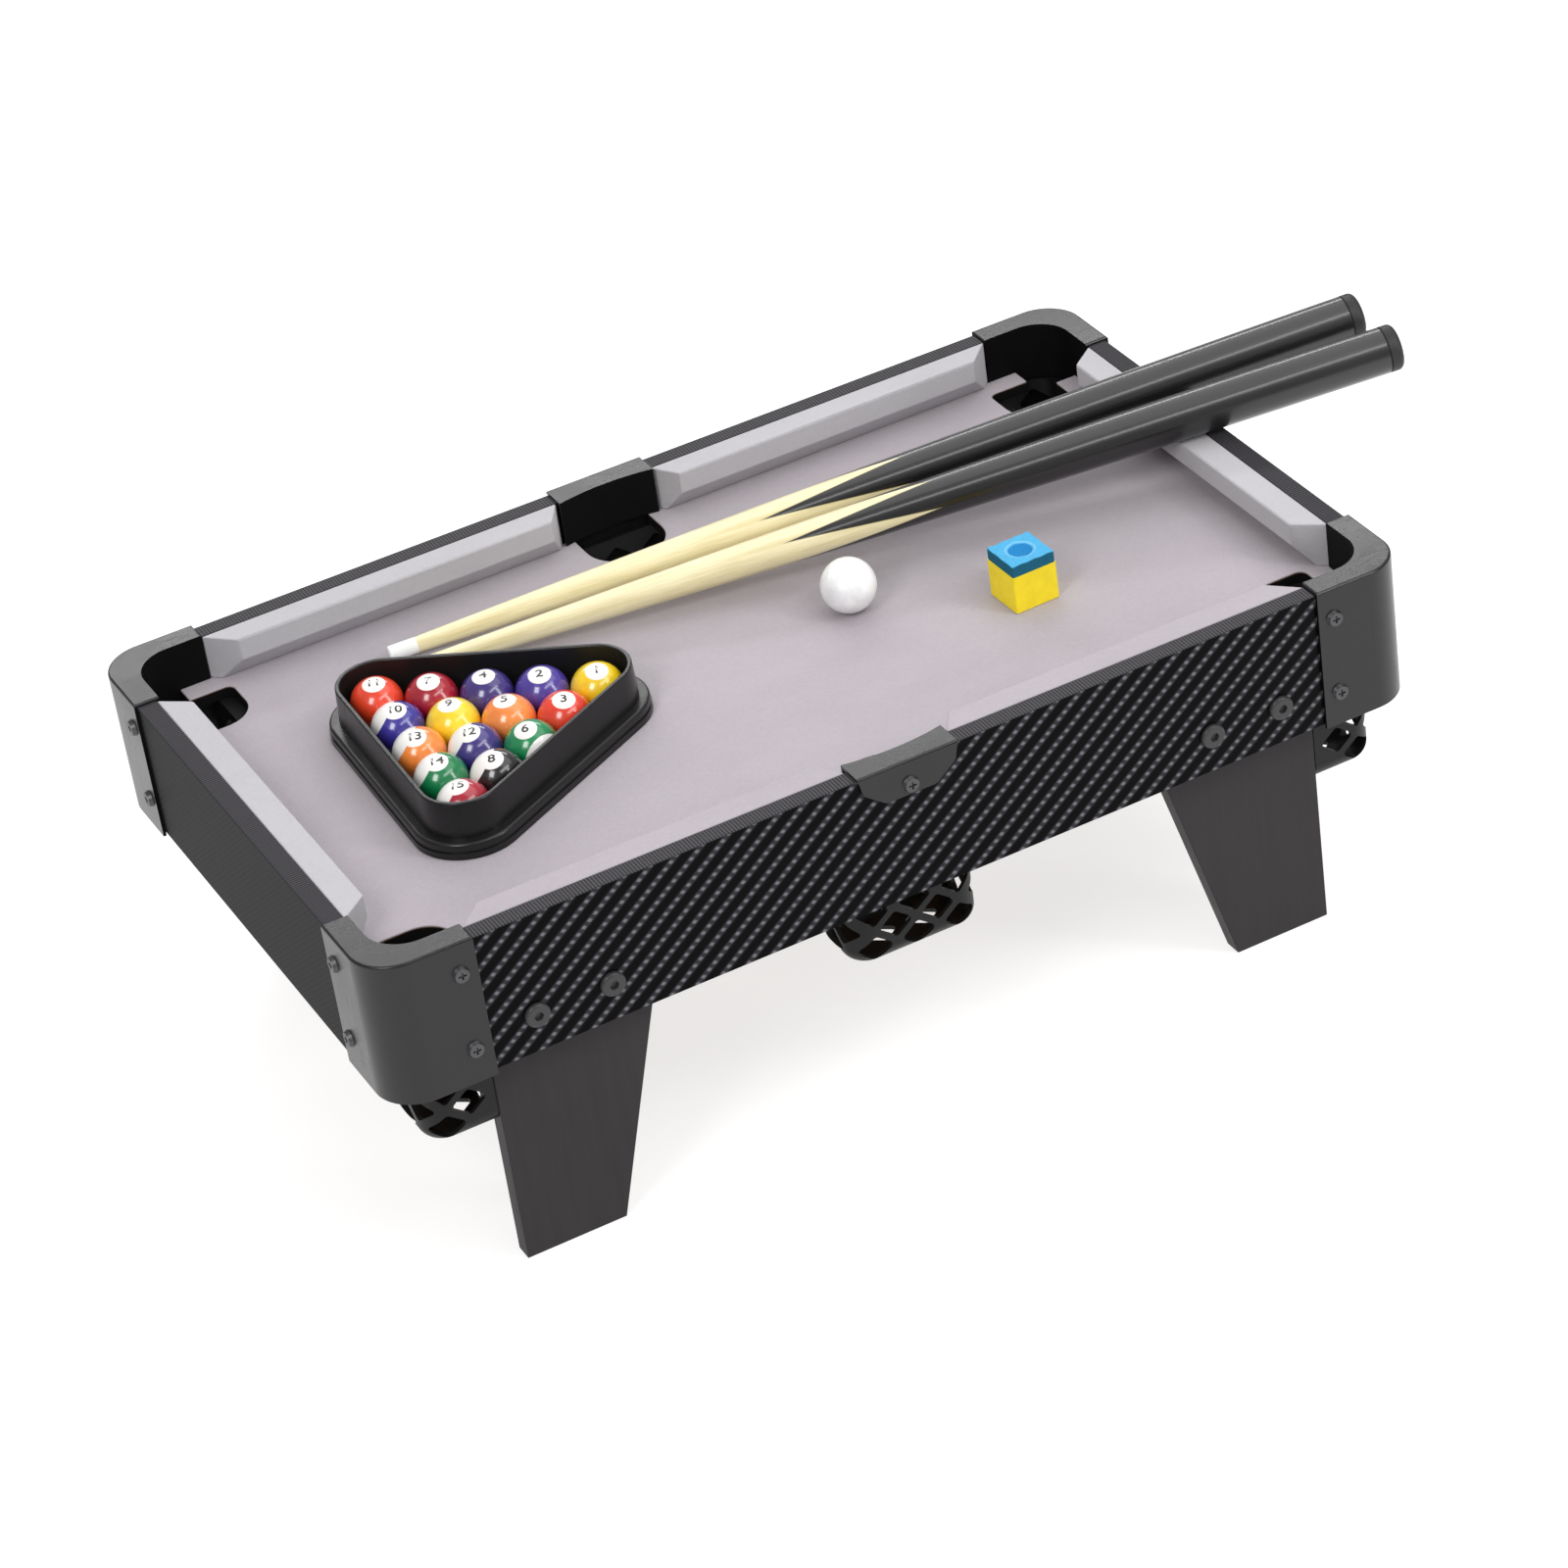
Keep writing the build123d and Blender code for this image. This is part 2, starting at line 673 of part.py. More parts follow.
with BuildPart() as cap_screws:
    side_points = side_screw_points + [middle_screw]
    for sign in signs:
        pan_screws(side_face(sign, half_w), side_points)
        pan_screws(end_face(sign, half_l), end_screw_points)
save(cap_screws, "cap_screws")

# ---- Battens under the bed, and the screws into them and through the basket rims

with BuildPart() as bed_cleats:
    with BuildSketch(level(board_bottom - cleat)):
        with Locations(*side_cleat_points):
            Rectangle(cleat_side_x[1] - cleat_side_x[0], cleat)
        with Locations(*end_cleat_points):
            Rectangle(cleat, 2 * cleat_end_half)
    extrude(amount=cleat)
    bore(level(board_bottom), cleat_screw_points, screw_r, cleat)
save(bed_cleats, "bed_cleats")


def upward_screws(z, points, shank):
    """Screws driven up from height z, head below it."""
    with BuildSketch(level(z)) as heads:
        with Locations(*points):
            Circle(board_head_r)
    extrude(heads.sketch, amount=-board_head_h, taper=board_head_draft)
    with BuildSketch(level(z)) as shanks:
        with Locations(*points):
            Circle(screw_r)
    extrude(shanks.sketch, amount=shank)


with BuildPart() as board_screws:
    upward_screws(board_bottom - cleat, cleat_screw_points, cleat + pilot_depth)
save(board_screws, "board_screws")

with BuildPart() as basket_screws:
    upward_screws(rim_bottom, basket_screw_points, basket_rim_t + pilot_depth)
save(basket_screws, "basket_screws")

# ---- Rack


def rack_level(z):
    return Plane(
        origin=(table_x + rack_xy[0], rack_xy[1], z),
        x_dir=(cos(radians(rack_turn)), sin(radians(rack_turn)), 0),
        z_dir=(0, 0, 1),
    )


def rack_layer(z, out, thickness, taper=0.0, mode=Mode.ADD):
    """One layer of the rack: a triangle with round corners, widened by out."""
    with BuildSketch(rack_level(z)) as layer:
        RegularPolygon(rack_side / sqrt(3), 3, rotation=-90)
        offset(amount=out)
    extrude(layer.sketch, amount=thickness, taper=taper, mode=mode)


rack_base = felt_z + rest_gap
wall_foot_out = rack_out + (rack_height - rack_foot_h) * sin(radians(rack_draft))
with BuildPart() as rack:
    rack_layer(rack_base, rack_foot_out, rack_groove_z)
    rack_layer(rack_base + rack_groove_z, rack_foot_out - rack_groove, rack_groove)
    foot_top = rack_foot_h - rack_groove_z - rack_groove
    rack_layer(rack_base + rack_groove_z + rack_groove, rack_foot_out - rack_step, foot_top)
    fillet(rack.edges().group_by(Axis.Z)[-1], rack_foot_r)
    rack_layer(rack_base + rack_foot_h, wall_foot_out, rack_height - rack_foot_h, rack_draft)
    rack_layer(rack_base, rack_out - rack_wall, rack_height, mode=Mode.SUBTRACT)
    fillet(rack.edges().group_by(Axis.Z)[-1], rack_rim_r)
save(rack, "rack")

# ---- Balls


def ball(x, y, diameter, node):
    centre = felt_z + rest_gap + diameter / 2
    with BuildPart(Plane(origin=(table_x + x, y, centre))) as one_ball:
        Sphere(diameter / 2)
    save(one_ball, node)


ball_pitch = ball_d + ball_gap
row_step = ball_pitch * sqrt(3) / 2
back_row = 2 * row_step * 2 / 3  # from the middle of the fifteen balls to their back row
turn_c, turn_s = cos(radians(rack_turn)), sin(radians(rack_turn))
for row, numbers in enumerate(rack_order):
    for place, number in enumerate(numbers):
        along = (place - (len(numbers) - 1) / 2) * ball_pitch
        back = back_row - row * row_step
        x = rack_xy[0] + along * turn_c - back * turn_s
        y = rack_xy[1] + along * turn_s + back * turn_c
        ball(x, y, ball_d, f"ball_{number:02d}")
ball(*cue_ball_xy, cue_ball_d, "cue_ball")

# ---- Cues: turned wooden body, white end cap on the tip, plug in the butt

for number in range(2):
    tip_z = felt_z + rest_gap + cue_tip_r
    tip_point = Vector(table_x + cue_tips[number][0], cue_tips[number][1], tip_z)
    along = cue_direction(number)
    outward = Vector(-along.Y, along.X, 0).normalized()
    lengthwise = Plane(origin=tip_point, x_dir=along, z_dir=along.cross(outward))
    cue_axis = Axis(tip_point, along)
    butt = cue_length - cue_bumper

    with BuildPart() as cue_shaft:
        with BuildSketch(lengthwise):
            with BuildLine():
                side = ThreePointArc(
                    (cue_ferrule, cue_tip_r), (cue_mid_s, cue_mid_r), (butt, cue_butt_r)
                )
                Polyline(
                    side @ 1,
                    (butt, plug_r),
                    (butt - plug_depth, plug_r),
                    (butt - plug_depth, 0),
                    (cue_ferrule - tenon_depth, 0),
                    (cue_ferrule - tenon_depth, tenon_r),
                    (cue_ferrule, tenon_r),
                    side @ 0,
                )
            make_face()
        revolve(axis=cue_axis)
    save(cue_shaft, f"cue_{number + 1}_shaft")

    with BuildPart() as cue_tip:
        with BuildSketch(lengthwise):
            Polygon(
                (0, 0),
                (0, cue_tip_r - cue_tip_edge),
                (cue_tip_edge, cue_tip_r),
                (cue_ferrule, cue_tip_r),
                (cue_ferrule, tenon_r),
                (cue_ferrule - tenon_depth, tenon_r),
                (cue_ferrule - tenon_depth, 0),
            )
        revolve(axis=cue_axis)
    save(cue_tip, f"cue_{number + 1}_tip")

    with BuildPart() as cue_bumper_plug:
        with BuildSketch(lengthwise):
            Polygon(
                (butt - plug_depth, 0),
                (butt - plug_depth, plug_r),
                (butt, plug_r),
                (butt, cue_butt_r),
                (cue_length, cue_butt_r),
                (cue_length, 0),
            )
        revolve(axis=cue_axis)
        fillet(cue_bumper_plug.edges().sort_by(cue_axis)[-1], bumper_round)
    save(cue_bumper_plug, f"cue_{number + 1}_bumper")

# ---- Chalk and its paper band


def chalk_plane(z):
    return Plane(
        origin=(table_x + chalk_xy[0], chalk_xy[1], z),
        x_dir=(cos(radians(chalk_turn)), sin(radians(chalk_turn)), 0),
        z_dir=(0, 0, 1),
    )


chalk_base = felt_z + rest_gap
with BuildPart() as chalk_block:
    with BuildSketch(chalk_plane(chalk_base)):
        Rectangle(chalk_side, chalk_side)
    extrude(amount=chalk_height)
    chamfer(chalk_block.edges().group_by(Axis.Z)[-1], chalk_edge)
    with BuildSketch(chalk_plane(chalk_base + chalk_height)):
        Circle(chalk_hollow_r)
    extrude(amount=-chalk_hollow_depth, taper=45, mode=Mode.SUBTRACT)
save(chalk_block, "chalk_block")

with BuildPart() as chalk_wrap:
    with BuildSketch(chalk_plane(chalk_base)):
        Rectangle(chalk_side + 2 * wrap_t, chalk_side + 2 * wrap_t)
        Rectangle(chalk_side, chalk_side, mode=Mode.SUBTRACT)
    extrude(amount=wrap_height)
save(chalk_wrap, "chalk_wrap")
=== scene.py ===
import json
import random
from math import cos, pi, radians, sin, sqrt

import bmesh
import bpy
from mathutils import Matrix, Vector


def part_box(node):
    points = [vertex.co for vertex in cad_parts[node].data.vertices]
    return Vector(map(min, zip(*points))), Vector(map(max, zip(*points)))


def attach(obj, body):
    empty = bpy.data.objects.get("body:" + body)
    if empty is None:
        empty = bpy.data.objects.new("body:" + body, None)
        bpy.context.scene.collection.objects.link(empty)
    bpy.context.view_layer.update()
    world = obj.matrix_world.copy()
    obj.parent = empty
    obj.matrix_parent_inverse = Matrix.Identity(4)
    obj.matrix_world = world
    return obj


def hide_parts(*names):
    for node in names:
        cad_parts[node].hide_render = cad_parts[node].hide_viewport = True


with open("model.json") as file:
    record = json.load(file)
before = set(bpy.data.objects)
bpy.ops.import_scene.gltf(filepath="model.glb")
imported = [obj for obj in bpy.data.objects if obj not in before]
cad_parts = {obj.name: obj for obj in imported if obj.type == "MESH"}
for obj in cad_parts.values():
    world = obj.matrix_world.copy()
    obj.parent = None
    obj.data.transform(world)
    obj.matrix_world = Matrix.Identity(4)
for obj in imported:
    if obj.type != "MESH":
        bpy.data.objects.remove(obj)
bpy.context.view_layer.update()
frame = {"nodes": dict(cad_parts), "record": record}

# Mini pool table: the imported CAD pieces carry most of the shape. Felt, cushions, balls, cues
# and chalk are modelled again here in finer detail, in the places that the frame gives.

MM = 0.001
random.seed(15)
nodes = frame["nodes"]
body_of_node = {n: body for body, group in frame["record"]["behaviour"]["bodies"].items() for n in group}
slot_of_node = {part["node"]: part["material_slot"] for part in frame["record"]["subparts"]}

bed_low, bed_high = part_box("bed_felt")
table_x = (bed_low.x + bed_high.x) / 2
rail_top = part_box("side_rail_front")[1].z
sides = ("front", "back")
ends = ("left", "right")
corners = [f"{side}_{end}" for side in sides for end in ends]


def srgb(red, green, blue):
    """A colour from 0-255 display values, as linear RGBA."""
    def linear(value):
        value /= 255
        return value / 12.92 if value <= 0.04045 else ((value + 0.055) / 1.055) ** 2.4
    return (linear(red), linear(green), linear(blue), 1.0)


# ---- Materials


class Tree:
    """One node material. Methods that make a node return its output socket."""

    def __init__(self, name, **shader):
        self.material = bpy.data.materials.new(name)
        self.material.use_nodes = True
        self.nodes = self.material.node_tree.nodes
        self.links = self.material.node_tree.links
        self.shader = self.nodes["Principled BSDF"]
        for socket, value in shader.items():
            self.shader.inputs[socket.replace("_", " ")].default_value = value

    def feed(self, socket, value):
        if isinstance(value, bpy.types.NodeSocket):
            self.links.new(value, socket)
        elif value is not None:
            socket.default_value = value

    def add(self, kind, *values, **settings):
        node = self.nodes.new(kind)
        for key, value in settings.items():
            setattr(node, key, value)
        for socket, value in zip(node.inputs, values):
            self.feed(socket, value)
        return node

    def place(self):
        """Position in the piece's own space, in metres."""
        return self.add("ShaderNodeTexCoord").outputs["Object"]

    def facing(self):
        """Surface normal in the piece's own space, as three sockets."""
        return self.add("ShaderNodeSeparateXYZ", self.add("ShaderNodeTexCoord").outputs["Normal"]).outputs

    def parts(self, vector=None):
        return self.add("ShaderNodeSeparateXYZ", vector or self.place()).outputs

    def math(self, operation, a, b=None):
        return self.add("ShaderNodeMath", a, b, operation=operation).outputs[0]

    def scaled(self, factors, vector=None):
        node = self.add("ShaderNodeVectorMath", vector or self.place(), factors, operation="MULTIPLY")
        return node.outputs[0]

    def noise(self, scale, detail=2.0, roughness=0.5, vector=None):
        node = self.add("ShaderNodeTexNoise", vector or self.place())
        node.inputs["Scale"].default_value = scale
        node.inputs["Detail"].default_value = detail
        node.inputs["Roughness"].default_value = roughness
        return node.outputs[0]

    def spread(self, value, low, high, to_low=0.0, to_high=1.0, smooth=False):
        kind = "SMOOTHSTEP" if smooth else "LINEAR"
        limits = (low, high, to_low, to_high)
        return self.add("ShaderNodeMapRange", value, *limits, interpolation_type=kind).outputs[0]

    def mix(self, factor, a, b):
        node = self.add("ShaderNodeMix", data_type="RGBA")
        self.feed(node.inputs[0], factor)
        self.feed(node.inputs[6], a)
        self.feed(node.inputs[7], b)
        return node.outputs[2]

    def dim(self, colour, amount):
        """A colour times a grey."""
        base = colour[:3] if isinstance(colour, tuple) else colour
        node = self.add("ShaderNodeVectorMath", base, operation="SCALE")
        self.feed(node.inputs["Scale"], amount)
        return node.outputs[0]

    def bump(self, height, distance, normal=None, strength=1.0):
        node = self.add("ShaderNodeBump")
        node.inputs["Strength"].default_value = strength
        node.inputs["Distance"].default_value = distance
        self.feed(node.inputs["Height"], height)
        self.feed(node.inputs["Normal"], normal)
        return node.outputs[0]

    def finish(self, colour, roughness=None, normal=None):
        self.feed(self.shader.inputs["Base Color"], colour)
        self.feed(self.shader.inputs["Roughness"], roughness)
        self.feed(self.shader.inputs["Normal"], normal)
        return self.material


def felt(name, colour, pile=1.0):
    """Short pressed felt: fine fibres, small tufts and a little cloudiness."""
    tree = Tree(name, Sheen_Weight=0.15, Sheen_Roughness=0.6, Specular_IOR_Level=0.15)
    fibres = tree.noise(2600, 3, 0.7)
    tufts = tree.noise(420, 3, 0.6)
    clouds = tree.noise(11, 3, 0.55)
    streaks = tree.noise(60, 3, 0.6, tree.scaled((0.35, 1.0, 1.0)))
    tone = tree.spread(fibres, 0.3, 0.7, 0.93, 1.05)
    tone = tree.math("MULTIPLY", tone, tree.spread(tufts, 0.3, 0.7, 0.975, 1.02))
    tone = tree.math("MULTIPLY", tone, tree.spread(clouds, 0.3, 0.7, 0.96, 1.03))
    tone = tree.math("MULTIPLY", tone, tree.spread(streaks, 0.3, 0.7, 0.985, 1.015))
    normal = tree.bump(clouds, 1.6 * MM, strength=0.5)
    normal = tree.bump(tufts, 0.25 * MM * pile, normal)
    normal = tree.bump(fibres, 0.12 * MM * pile, normal)
    return tree.finish(tree.dim(colour, tone), tree.spread(fibres, 0.3, 0.7, 0.88, 0.98), normal)


def plastic(name, colour, gloss=0.42, grain=900, depth=0.02, coat=0.0, specular=0.35, inside=None):
    """Moulded plastic: a fine spark-eroded grain, uneven gloss and faint scuffs.

    inside is painted shade: a darker, duller colour for upright faces that look towards the table's
    middle, into the pockets."""
    tree = Tree(name, Specular_IOR_Level=specular, Coat_Weight=coat, Coat_Roughness=0.25)
    pits = tree.noise(grain, 2, 0.6)
    flow = tree.noise(14, 3, 0.5)
    scuffs = tree.noise(90, 4, 0.7, tree.scaled((1.0, 3.0, 0.6)))
    tone = tree.math("MULTIPLY", tree.spread(flow, 0.3, 0.7, 0.92, 1.08),
                     tree.spread(pits, 0.3, 0.7, 0.95, 1.05))
    tone = tree.math("ADD", tone, tree.spread(scuffs, 0.66, 0.8, 0.0, 0.2))
    rough = tree.math("ADD", tree.spread(flow, 0.3, 0.7, gloss - 0.05, gloss + 0.06),
                      tree.spread(scuffs, 0.55, 0.8, 0.0, 0.12))
    # Painted shade: upright faces that look towards the table's middle take the darker, duller inside
    # colour.
    if inside:
        place, facing = tree.parts(), tree.facing()
        from_middle = tree.math("SUBTRACT", place[0], table_x)
        outward = tree.math("ADD", tree.math("MULTIPLY", facing[0], from_middle),
                            tree.math("MULTIPLY", facing[1], place[1]))
        upright = tree.spread(tree.math("ABSOLUTE", facing[2]), 0.5, 0.3)
        shaded_inner_faces = tree.math("MULTIPLY", tree.spread(outward, 0.0, -0.01), upright)
        colour = tree.mix(shaded_inner_faces, colour, inside)
        rough = tree.math("ADD", rough, tree.math("MULTIPLY", shaded_inner_faces, 0.25))
        specular_here = tree.spread(shaded_inner_faces, 0.0, 1.0, specular, 0.06)
        tree.feed(tree.shader.inputs["Specular IOR Level"], specular_here)
    normal = tree.bump(pits, depth * MM)
    normal = tree.bump(flow, 0.25 * MM, normal, 0.4)
    return tree.finish(tree.dim(colour, tone), rough, normal)


def fibreboard(tree):
    """Colour of bare pressed fibreboard."""
    specks = tree.noise(1500, 3, 0.8)
    patches = tree.noise(40, 3, 0.6)
    colour = tree.mix(specks, srgb(96, 66, 40), srgb(150, 112, 72))
    return tree.dim(colour, tree.spread(patches, 0.3, 0.7, 0.85, 1.12))


def wrap(name, across, cell, bright, base, gloss, ribs):
    """Printed twill wrap on the outside and top of a rail; the rest is painted black.

    across is 0 for a rail along X and 1 for one along Y; cell is a tow's width along it and up."""
    tree = Tree(name, Specular_IOR_Level=0.05)
    place, facing = tree.parts(), tree.facing()
    along = tree.math("DIVIDE", place[across], cell[0])
    up = tree.math("DIVIDE", place[2], cell[1])
    # Chains rise to the right seen from outside, on every side of the table
    out_axis = 1 - across
    out_sign = tree.math("SIGN", place[out_axis] if out_axis else tree.math("SUBTRACT", place[0], table_x))
    hand = tree.math("MULTIPLY", out_sign, -1.0 if across == 0 else 1.0)
    along = tree.math("MULTIPLY", along, hand)
    drift = tree.math("SUBTRACT", along, up)
    line = tree.math("PINGPONG", drift, 2.0)  # 0 on a chain's middle, 2 between two chains
    step = tree.math("MULTIPLY", tree.math("ADD", along, up), 0.5)
    bead = tree.math("PINGPONG", step, 0.5)
    chain = tree.spread(line, 0.25, 1.15, 1.0, 0.0, smooth=True)
    spot = tree.math("MULTIPLY", tree.spread(line, 0.15, 0.75, 1.0, 0.0, smooth=True),
                     tree.spread(bead, 0.08, 0.34, 1.0, 0.0, smooth=True))
    threads = tree.noise(1500, 2, 0.6, tree.scaled((1.0, 1.0, 0.15)))
    lit_chain = tree.math("MULTIPLY", chain, tree.spread(threads, 0.2, 0.8, 0.8, 1.1))
    weave = tree.mix(lit_chain, base[0], base[1])
    weave = tree.mix(spot, weave, bright)
    comb = tree.math("PINGPONG", tree.math("DIVIDE", place[across], ribs), 0.5)
    strip = tree.mix(tree.spread(comb, 0.08, 0.32, smooth=True), srgb(28, 27, 30), srgb(70, 68, 72))
    outward = tree.spread(tree.math("MULTIPLY", facing[out_axis], out_sign), 0.4, 0.6)
    upward = tree.spread(facing[2], 0.4, 0.6)
    back = tree.dim(srgb(16, 16, 17), tree.spread(tree.noise(300, 3), 0.3, 0.7, 0.7, 1.3))
    colour = tree.mix(outward, back, weave)
    colour = tree.mix(upward, colour, strip)
    covered = tree.math("MAXIMUM", outward, upward)
    rough = tree.spread(covered, 0.0, 1.0, 0.9, gloss)
    relief = tree.math("ADD", tree.math("MULTIPLY", chain, 0.6), tree.math("MULTIPLY", spot, 0.4))
    relief = tree.math("MULTIPLY", relief, outward)
    relief = tree.math("ADD", relief, tree.math("MULTIPLY", comb, upward))
    return tree.finish(colour, rough, tree.bump(relief, 0.12 * MM, strength=0.6))


def leg_foil():
    """Charcoal foil with faint upright brush lines and fine pores."""
    tree = Tree("leg_foil", Specular_IOR_Level=0.15)
    lines = tree.noise(260, 4, 0.6, tree.scaled((1.0, 1.0, 0.06)))
    pores = tree.noise(1300, 2, 0.6)
    clouds = tree.noise(9, 2)
    tone = tree.math("MULTIPLY", tree.spread(lines, 0.3, 0.7, 0.9, 1.1),
                     tree.spread(clouds, 0.3, 0.7, 0.92, 1.08))
    normal = tree.bump(pores, 0.03 * MM)
    normal = tree.bump(lines, 0.05 * MM, normal)
    return tree.finish(tree.dim(srgb(50, 47, 49), tone), tree.spread(lines, 0.3, 0.7, 0.46, 0.6), normal)


def metal(name, colour, rough):
    """Plated or blackened steel with turning marks and fingerprints."""
    tree = Tree(name, Metallic=0.9)
    marks = tree.noise(700, 3, 0.6)
    prints = tree.noise(120, 3, 0.6)
    tone = tree.spread(prints, 0.3, 0.7, 0.85, 1.12)
    return tree.finish(tree.dim(colour, tone), tree.spread(prints, 0.3, 0.7, rough - 0.08, rough + 0.12),
                       tree.bump(marks, 0.02 * MM))


def bare_board():
    """Bare fibreboard with its cut edges painted black."""
    tree = Tree("bare_board", Specular_IOR_Level=0.1, Roughness=0.85)
    edge = tree.spread(tree.math("ABSOLUTE", tree.facing()[2]), 0.6, 0.4)
    colour = tree.mix(edge, fibreboard(tree), srgb(15, 14, 14))
    return tree.finish(colour, None, tree.bump(tree.noise(1500, 3, 0.8), 0.08 * MM))


def softwood():
    tree = Tree("softwood", Specular_IOR_Level=0.25)
    rings = tree.noise(90, 4, 0.6, tree.scaled((0.12, 0.5, 1.0)))
    colour = tree.mix(tree.spread(rings, 0.35, 0.65), srgb(214, 178, 126), srgb(178, 134, 84))
    return tree.finish(colour, tree.spread(rings, 0.3, 0.7, 0.6, 0.75), tree.bump(rings, 0.1 * MM))


def resin(name, colour, radius, cap=None, paired=False):
    """Polished ball. Local Z points at its number, cap at its white cap; paired adds the opposite one."""
    tree = Tree(name, Roughness=0.22, Coat_Weight=0.6, Coat_Roughness=0.1, Specular_IOR_Level=0.5)
    outward = tree.scaled((1 / radius,) * 3)
    place = tree.parts(outward)
    white = srgb(238, 236, 232)
    swirl = tree.noise(110, 4, 0.6)
    paint = tree.dim(colour, tree.spread(swirl, 0.3, 0.7, 0.88, 1.14))
    if cap:
        reach = tree.add("ShaderNodeVectorMath", outward, cap, operation="DOT_PRODUCT").outputs["Value"]
        if paired:
            reach = tree.math("ABSOLUTE", reach)
        paint = tree.mix(tree.spread(reach, 0.6, 0.615), paint, white)
    if name != "cue_ball_resin":
        disc = tree.spread(tree.math("ABSOLUTE", place[2]), 0.9, 0.91)
        paint = tree.mix(disc, paint, white)
    return tree.finish(paint, None, tree.bump(tree.noise(60, 2), 0.05 * MM, strength=0.15))


def ink():
    tree = Tree("number_ink", Roughness=0.25, Coat_Weight=0.4)
    return tree.finish(tree.dim(srgb(22, 22, 24), tree.spread(tree.noise(900, 2), 0.3, 0.7, 0.8, 1.3)))


splice_roll = radians(43)  # turns the tip of one black point towards the front left


def cue_lacquer(splice_start, splice_end):
    """Maple shaft, four long points, satin black butt. Local X runs from the tip to the butt."""
    tree = Tree("cue_lacquer", Specular_IOR_Level=0.5, Coat_Roughness=0.15)
    place = tree.parts()
    turn = tree.math("ADD", tree.math("ARCTAN2", place[2], place[1]), splice_roll)
    point = tree.math("PINGPONG", tree.math("MULTIPLY", turn, 4 / (2 * pi)), 0.5)
    reach = tree.math("MULTIPLY", point, 2.0)
    edge = tree.spread(reach, 0.0, 1.0, splice_start, splice_end)
    beyond = tree.math("SUBTRACT", place[0], edge)
    black = tree.spread(beyond, -0.2 * MM, 0.6 * MM)
    veneer = tree.spread(beyond, -3.2 * MM, -2.4 * MM)
    grain = tree.noise(320, 5, 0.65, tree.scaled((0.03, 1.0, 1.0)))
    flecks = tree.noise(1400, 2, 0.6, tree.scaled((0.06, 1.0, 1.0)))
    maple = tree.mix(tree.spread(grain, 0.3, 0.7), srgb(243, 234, 196), srgb(214, 199, 146))
    maple = tree.dim(maple, tree.spread(flecks, 0.25, 0.75, 0.93, 1.05))
    maple = tree.mix(veneer, maple, srgb(150, 140, 100))
    paint = tree.dim(srgb(22, 22, 22), tree.spread(tree.noise(40, 3), 0.3, 0.7, 0.85, 1.15))
    tree.feed(tree.shader.inputs["Coat Weight"], tree.spread(black, 0.0, 1.0, 0.35, 0.5))
    normal = tree.bump(grain, 0.03 * MM)
    return tree.finish(tree.mix(black, maple, paint), tree.spread(black, 0.0, 1.0, 0.38, 0.3), normal)


def pressed_chalk():
    """Pressed chalk: crumbly and dusty, with a worn hollow in the middle of its top; the top is lighter as
    painted light, the hollow darker as painted shade, with a painted highlight on its rim.
    """
    tree = Tree("pressed_chalk", Roughness=0.95, Specular_IOR_Level=0.1)
    crumbs = tree.noise(900, 5, 0.8)
    pits = tree.noise(260, 3, 0.7)
    # Painted light: faces that look up take the lighter top colour.
    lit_top = tree.spread(tree.facing()[2], 0.1, 0.8)
    place = tree.parts()
    flat = tree.add("ShaderNodeCombineXYZ", place[0], place[1])
    away = tree.add("ShaderNodeVectorMath", flat.outputs[0], operation="LENGTH").outputs["Value"]
    # Painted shade: the hollow in the top is darker; painted highlight: a pale ring round its rim.
    hollow = tree.spread(away, 5.0 * MM, 6.3 * MM, smooth=True)
    top = tree.mix(hollow, srgb(40, 126, 184), srgb(82, 168, 212))
    rim_highlight = tree.math("MULTIPLY", tree.spread(away, 5.6 * MM, 6.4 * MM),
                    tree.spread(away, 7.4 * MM, 6.6 * MM))
    top = tree.mix(tree.math("MULTIPLY", rim_highlight, 0.5), top, srgb(150, 205, 236))
    colour = tree.mix(lit_top, srgb(36, 100, 126), top)
    colour = tree.dim(colour, tree.spread(crumbs, 0.25, 0.75, 0.82, 1.15))
    normal = tree.bump(pits, 0.25 * MM)
    return tree.finish(colour, None, tree.bump(crumbs, 0.18 * MM, normal))


def paper():
    tree = Tree("yellow_paper", Specular_IOR_Level=0.3)
    fibres = tree.noise(1100, 4, 0.7)
    creases = tree.noise(150, 3, 0.6)
    colour = tree.dim(srgb(253, 226, 42), tree.spread(creases, 0.3, 0.7, 0.93, 1.05))
    normal = tree.bump(creases, 0.2 * MM)
    normal_with_fibres = tree.bump(fibres, 0.04 * MM, normal)
    return tree.finish(colour, tree.spread(fibres, 0.3, 0.7, 0.5, 0.66), normal_with_fibres)


